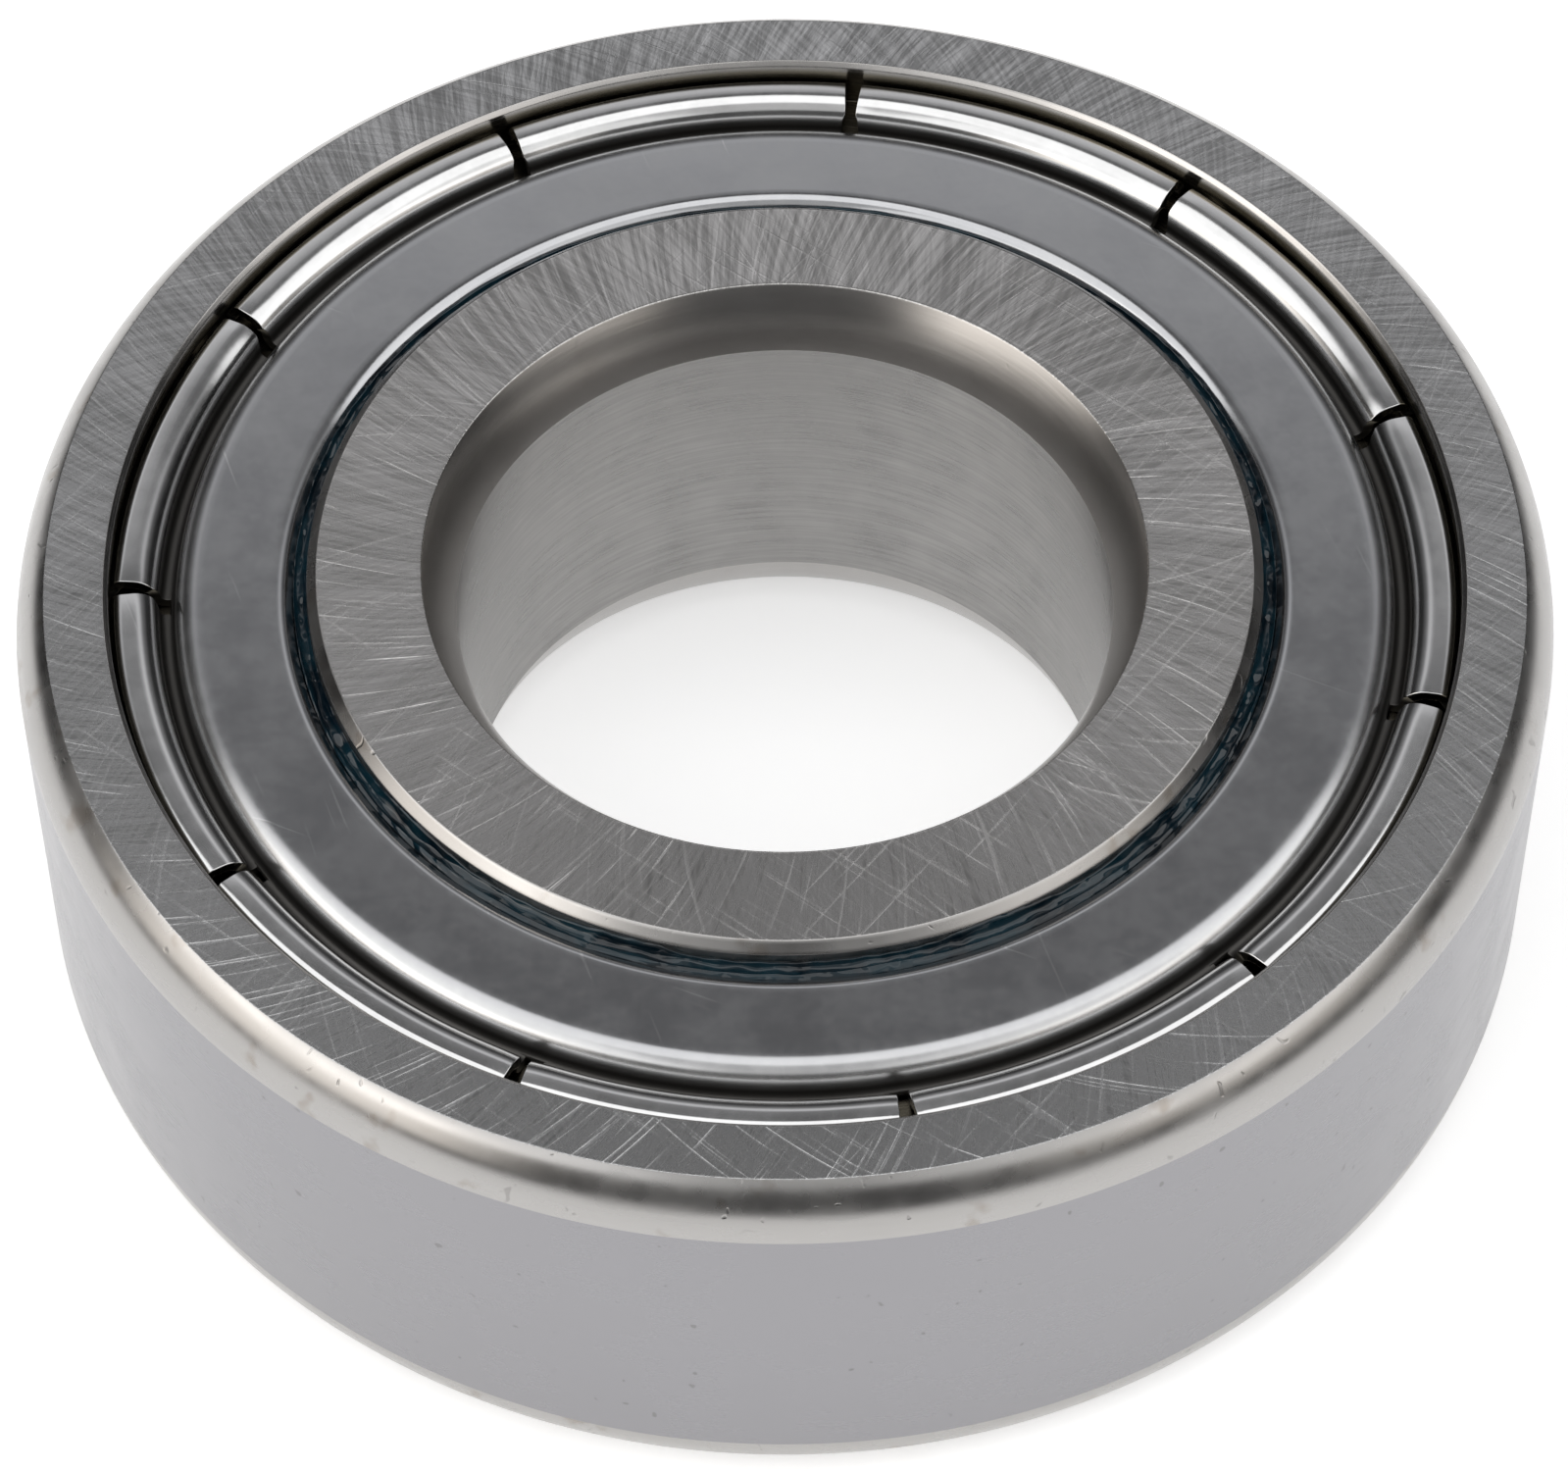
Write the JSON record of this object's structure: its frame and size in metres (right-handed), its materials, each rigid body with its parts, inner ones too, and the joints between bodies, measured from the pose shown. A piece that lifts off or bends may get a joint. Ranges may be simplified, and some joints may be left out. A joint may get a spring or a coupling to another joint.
{
  "type": "ball bearing",
  "caption": "Single row deep groove ball bearing with a pressed steel shield on each side, a riveted ribbon cage and a plain bore; it carries a rotating shaft in a housing.",
  "frame": {"origin": "centre of the bearing, on its axis of rotation and midway between its side faces", "axes": "+Z along the axis of rotation; ball_1 lies on +X"},
  "size_m": [0.035, 0.035, 0.011],
  "materials": {
    "outer_ring_steel": "ground faces with fine crossing scratches, smooth ground outside, tumbled corners",
    "inner_ring_steel": "ground faces with radial scratches, honed bore",
    "shield_steel": "smooth rolled sheet, polished at the bends",
    "ball_steel": "polished",
    "cage_steel": "satin pressed sheet",
    "rivet_steel": "satin",
    "grease": "wet dark teal grease"
  },
  "bodies": {
    "outer": {"outer_ring": "outer_ring_steel", "shield_upper": "shield_steel", "shield_lower": "shield_steel"},
    "inner": {"inner_ring": "inner_ring_steel"},
    "cage": {"cage_half_upper": "cage_steel", "cage_half_lower": "cage_steel", "cage_rivet_1": "rivet_steel", "cage_rivet_2": "rivet_steel", "cage_rivet_3": "rivet_steel", "cage_rivet_4": "rivet_steel", "cage_rivet_5": "rivet_steel", "cage_rivet_6": "rivet_steel", "cage_rivet_7": "rivet_steel", "cage_rivet_8": "rivet_steel"},
    "ball_1": {"ball_1": "ball_steel"},
    "ball_2": {"ball_2": "ball_steel"},
    "ball_3": {"ball_3": "ball_steel"},
    "ball_4": {"ball_4": "ball_steel"},
    "ball_5": {"ball_5": "ball_steel"},
    "ball_6": {"ball_6": "ball_steel"},
    "ball_7": {"ball_7": "ball_steel"},
    "ball_8": {"ball_8": "ball_steel"}
  },
  "joints": [
    {"name": "inner_ring_spin", "type": "hinge", "parent": "outer", "child": "inner", "pos_m": [0, 0, 0], "axis": [0, 0, 1], "continuous": true},
    {"name": "cage_spin", "type": "hinge", "parent": "outer", "child": "cage", "pos_m": [0, 0, 0], "axis": [0, 0, 1], "continuous": true},
    {"name": "ball_1_spin", "type": "hinge", "parent": "cage", "child": "ball_1", "pos_m": [0.0125, 0, 0], "axis": [0, 0, 1], "continuous": true},
    {"name": "ball_2_spin", "type": "hinge", "parent": "cage", "child": "ball_2", "pos_m": [0.00884, 0.00884, 0], "axis": [0, 0, 1], "continuous": true},
    {"name": "ball_3_spin", "type": "hinge", "parent": "cage", "child": "ball_3", "pos_m": [0, 0.0125, 0], "axis": [0, 0, 1], "continuous": true},
    {"name": "ball_4_spin", "type": "hinge", "parent": "cage", "child": "ball_4", "pos_m": [-0.00884, 0.00884, 0], "axis": [0, 0, 1], "continuous": true},
    {"name": "ball_5_spin", "type": "hinge", "parent": "cage", "child": "ball_5", "pos_m": [-0.0125, 0, 0], "axis": [0, 0, 1], "continuous": true},
    {"name": "ball_6_spin", "type": "hinge", "parent": "cage", "child": "ball_6", "pos_m": [-0.00884, -0.00884, 0], "axis": [0, 0, 1], "continuous": true},
    {"name": "ball_7_spin", "type": "hinge", "parent": "cage", "child": "ball_7", "pos_m": [0, -0.0125, 0], "axis": [0, 0, 1], "continuous": true},
    {"name": "ball_8_spin", "type": "hinge", "parent": "cage", "child": "ball_8", "pos_m": [0.00884, -0.00884, 0], "axis": [0, 0, 1], "continuous": true}
  ],
  "couplings": [
    {"joint": "cage_spin", "follows": "inner_ring_spin", "ratio": 0.38094},
    {"joint": "ball_1_spin", "follows": "inner_ring_spin", "ratio": -1.9807},
    {"joint": "ball_2_spin", "follows": "inner_ring_spin", "ratio": -1.9807},
    {"joint": "ball_3_spin", "follows": "inner_ring_spin", "ratio": -1.9807},
    {"joint": "ball_4_spin", "follows": "inner_ring_spin", "ratio": -1.9807},
    {"joint": "ball_5_spin", "follows": "inner_ring_spin", "ratio": -1.9807},
    {"joint": "ball_6_spin", "follows": "inner_ring_spin", "ratio": -1.9807},
    {"joint": "ball_7_spin", "follows": "inner_ring_spin", "ratio": -1.9807},
    {"joint": "ball_8_spin", "follows": "inner_ring_spin", "ratio": -1.9807}
  ]
}
